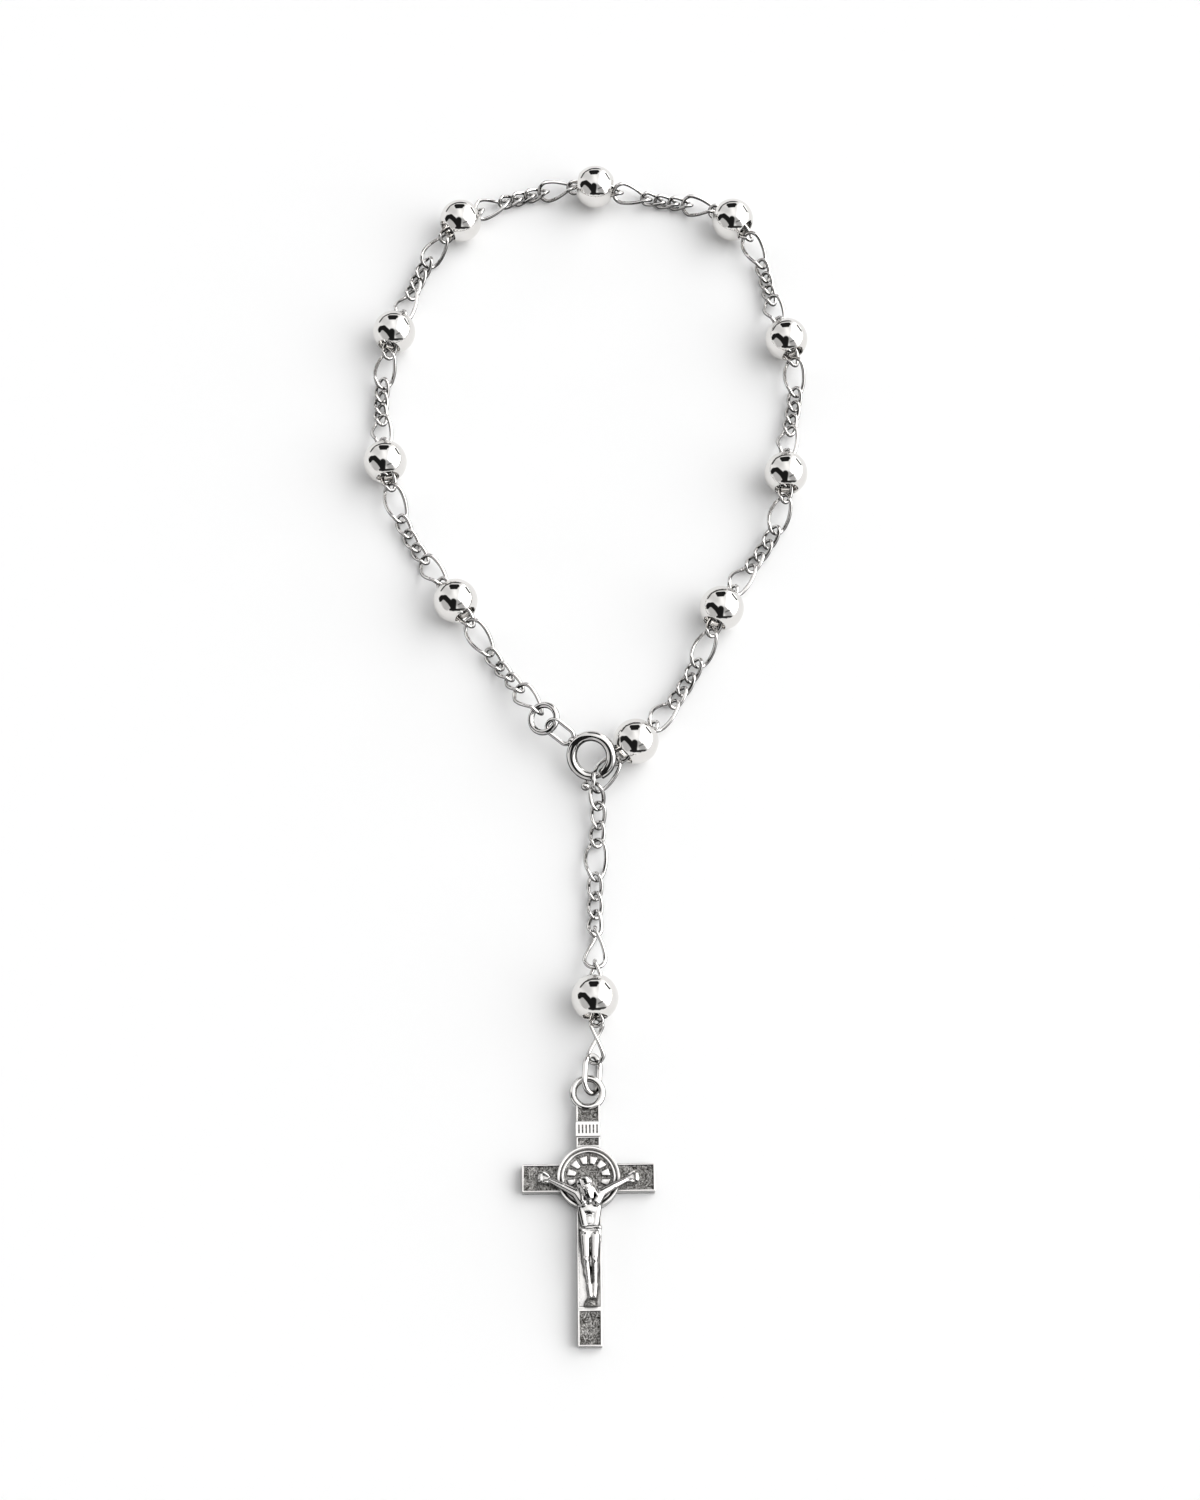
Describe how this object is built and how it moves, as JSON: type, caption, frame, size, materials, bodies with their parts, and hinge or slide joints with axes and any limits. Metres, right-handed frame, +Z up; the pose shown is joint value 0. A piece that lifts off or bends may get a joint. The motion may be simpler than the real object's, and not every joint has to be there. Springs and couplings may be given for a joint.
{
  "type": "rosary bracelet",
  "caption": "Silver rosary bracelet lying closed: hollow round beads on a twisted figaro chain, a spring ring clasp, and a drop chain with one more bead and a crucifix",
  "frame": {"origin": "bottom centre of the bounding box of the bracelet as it lies, on the table", "axes": "+Z up from the table, +Y from the crucifix towards the top of the loop, +X to the right"},
  "size_m": [0.0516, 0.1394, 0.005],
  "materials": {
    "bead_silver": "mirror polished silver",
    "chain_silver": "polished silver wire",
    "ring_silver": "polished silver",
    "cast_silver": "cast silver, polished on the high parts and darker in the recesses"
  },
  "bodies": {
    "bracelet": {"bead_01": "bead_silver", "bead_02": "bead_silver", "bead_03": "bead_silver", "bead_04": "bead_silver", "bead_05": "bead_silver", "bead_06": "bead_silver", "bead_07": "bead_silver", "bead_08": "bead_silver", "bead_09": "bead_silver", "bead_10": "bead_silver", "drop_bead": "bead_silver", "loop_chain_right": "chain_silver", "loop_chain_left": "chain_silver", "drop_chain": "chain_silver", "clasp_jump_ring": "ring_silver", "spring_ring": "ring_silver", "cross_jump_ring": "ring_silver", "crucifix": "cast_silver"},
    "trigger": {"spring_ring_trigger": "ring_silver"}
  },
  "joints": [
    {"name": "trigger_slide", "type": "hinge", "parent": "bracelet", "child": "trigger", "pos_m": [0.00046, -0.00714, 0.00271], "axis": [0.2333, 0.5002, -0.8339], "range_deg": [0, 33], "stiffness_Nm_per_rad": 0.0001, "springref_deg": -11.46}
  ]
}
